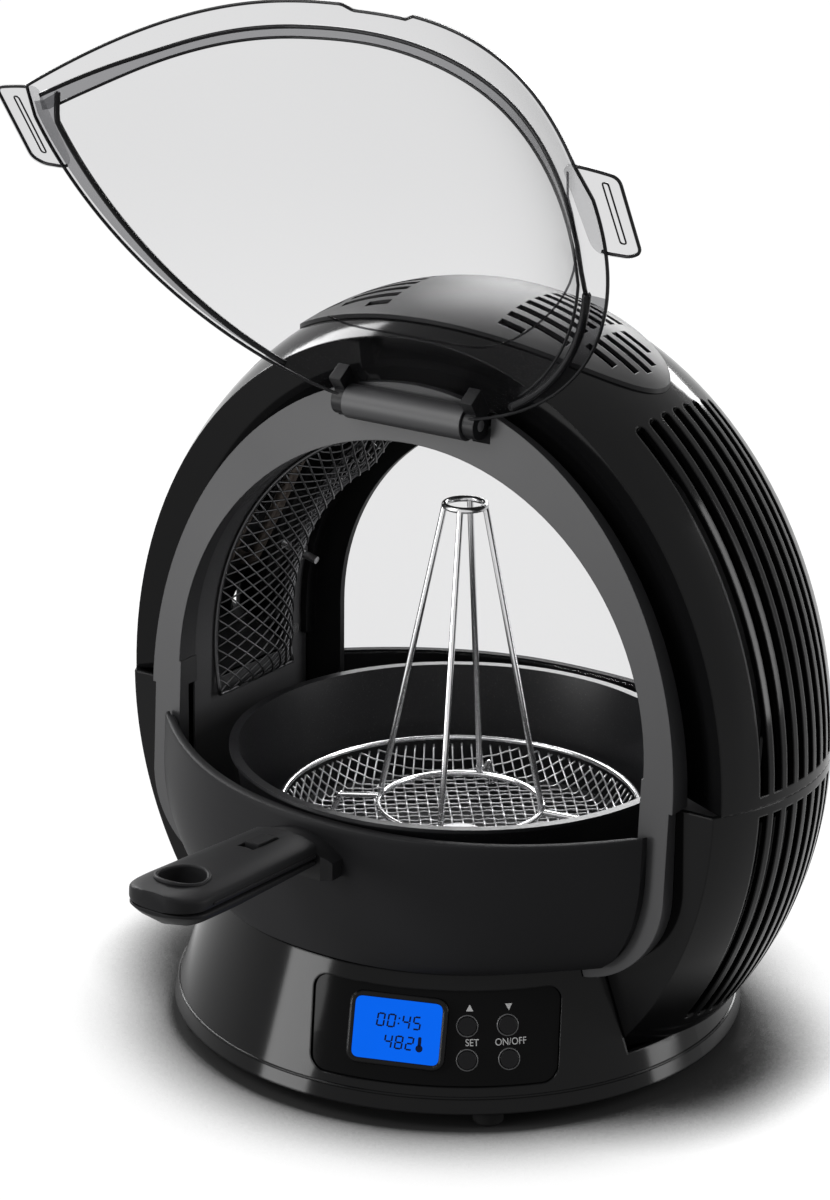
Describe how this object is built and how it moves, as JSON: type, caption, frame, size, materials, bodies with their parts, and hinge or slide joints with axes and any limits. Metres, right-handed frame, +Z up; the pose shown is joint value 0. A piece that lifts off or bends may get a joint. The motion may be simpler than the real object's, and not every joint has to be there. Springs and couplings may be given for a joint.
{
  "type": "rotisserie oven",
  "caption": "Countertop rotisserie oven with a louvred ring housing on a round base, a clear lid that swings up, a slide-out pan with handle, and a turning wire tray and rack.",
  "frame": {"origin": "on the turning axis of the tray, at the surface the feet stand on", "axes": "+Z up; -Y towards the front, where the pan and its handle slide out; +X to the right as seen from the front"},
  "size_m": [0.404, 0.4101, 0.566],
  "materials": {
    "shell": "glossy moulded black housing",
    "trim": "matte dark grey moulding",
    "clear": "smoke-tinted clear plastic",
    "rubber": "soft black rubber",
    "display": "blue backlit display lens",
    "board": "green circuit board",
    "steel": "brushed stainless steel",
    "bright": "bright plated steel wire",
    "liner": "dark grey baked enamel",
    "pan": "black non-stick coating",
    "element": "heat-darkened steel tube",
    "motor": "grey motor can",
    "bearing": "sintered bronze",
    "nylon": "natural white nylon"
  },
  "bodies": {
    "housing": {"upper_shell": "shell", "left_shell": "shell", "right_shell": "shell", "vent_cap": "trim", "cap_frame": "trim", "front_bezel": "trim", "rear_frame": "trim", "rear_window": "clear", "rear_wall": "trim", "base_housing": "shell", "base_plate": "trim", "feet": "rubber", "control_panel": "trim", "display_lens": "display", "display_module": "trim", "control_board": "board", "oven_liner": "liner", "heater_guard": "steel", "heating_element": "element", "heater_reflector": "steel", "guard_screws": "steel", "temperature_probe": "steel", "fan_motor": "motor", "drive_motor": "motor", "shaft_bearing": "bearing", "cord_inlet": "trim", "base_screws": "steel", "hinge_pin": "steel"},
    "lid": {"lid_panel": "clear", "lid_grips": "clear", "lid_lugs": "clear"},
    "pan": {"pan_bowl": "pan", "pan_feet": "nylon", "pan_front": "trim", "pan_bracket": "steel", "pan_bush": "nylon", "handle_socket": "trim", "handle_upper": "trim", "handle_lower": "trim", "handle_screws": "steel"},
    "latch": {"handle_latch": "trim"},
    "turntable": {"tray_hub": "steel", "tray_floor": "bright", "tray_side": "bright", "rack_base": "bright", "rack_uprights": "bright"},
    "drive": {"drive_gear": "nylon", "drive_shaft": "steel"},
    "pinion": {"drive_pinion": "nylon"},
    "fan": {"fan_rotor": "steel"},
    "button_up_body": {"button_up": "trim"},
    "button_down_body": {"button_down": "trim"},
    "button_set_body": {"button_set": "trim"},
    "button_power_body": {"button_power": "trim"}
  },
  "joints": [
    {"name": "lid_hinge", "type": "hinge", "parent": "housing", "child": "lid", "pos_m": [0, -0.0537, 0.351], "axis": [1, 0, 0], "range_deg": [0, 145]},
    {"name": "pan_slide", "type": "slide", "parent": "housing", "child": "pan", "axis": [0, -1, 0], "range_m": [0, 0.27]},
    {"name": "latch_slide", "type": "slide", "parent": "pan", "child": "latch", "axis": [0, -0.9981, 0.061], "range_m": [0, 0.005], "stiffness_N_per_m": 400},
    {"name": "turntable_spin", "type": "hinge", "parent": "pan", "child": "turntable", "pos_m": [0, 0, 0.095], "axis": [0, 0, 1], "continuous": true},
    {"name": "drive_spin", "type": "hinge", "parent": "housing", "child": "drive", "pos_m": [0, 0, 0.05], "axis": [0, 0, 1], "continuous": true},
    {"name": "pinion_spin", "type": "hinge", "parent": "housing", "child": "pinion", "pos_m": [0.057, 0, 0.05], "axis": [0, 0, 1], "continuous": true},
    {"name": "fan_spin", "type": "hinge", "parent": "housing", "child": "fan", "pos_m": [-0.1602, 0.008, 0.26663], "axis": [0.891, 0, -0.454], "continuous": true},
    {"name": "button_up_press", "type": "slide", "parent": "housing", "child": "button_up_body", "axis": [-0.5489, 0.7695, -0.3266], "range_m": [0, 0.001], "stiffness_N_per_m": 800},
    {"name": "button_down_press", "type": "slide", "parent": "housing", "child": "button_down_body", "axis": [-0.6566, 0.6799, -0.3266], "range_m": [0, 0.001], "stiffness_N_per_m": 800},
    {"name": "button_set_press", "type": "slide", "parent": "housing", "child": "button_set_body", "axis": [-0.5489, 0.7695, -0.3266], "range_m": [0, 0.001], "stiffness_N_per_m": 800},
    {"name": "button_power_press", "type": "slide", "parent": "housing", "child": "button_power_body", "axis": [-0.6566, 0.6799, -0.3266], "range_m": [0, 0.001], "stiffness_N_per_m": 800}
  ],
  "couplings": [
    {"joint": "drive_spin", "follows": "turntable_spin", "ratio": 1},
    {"joint": "pinion_spin", "follows": "turntable_spin", "ratio": -3.75}
  ]
}
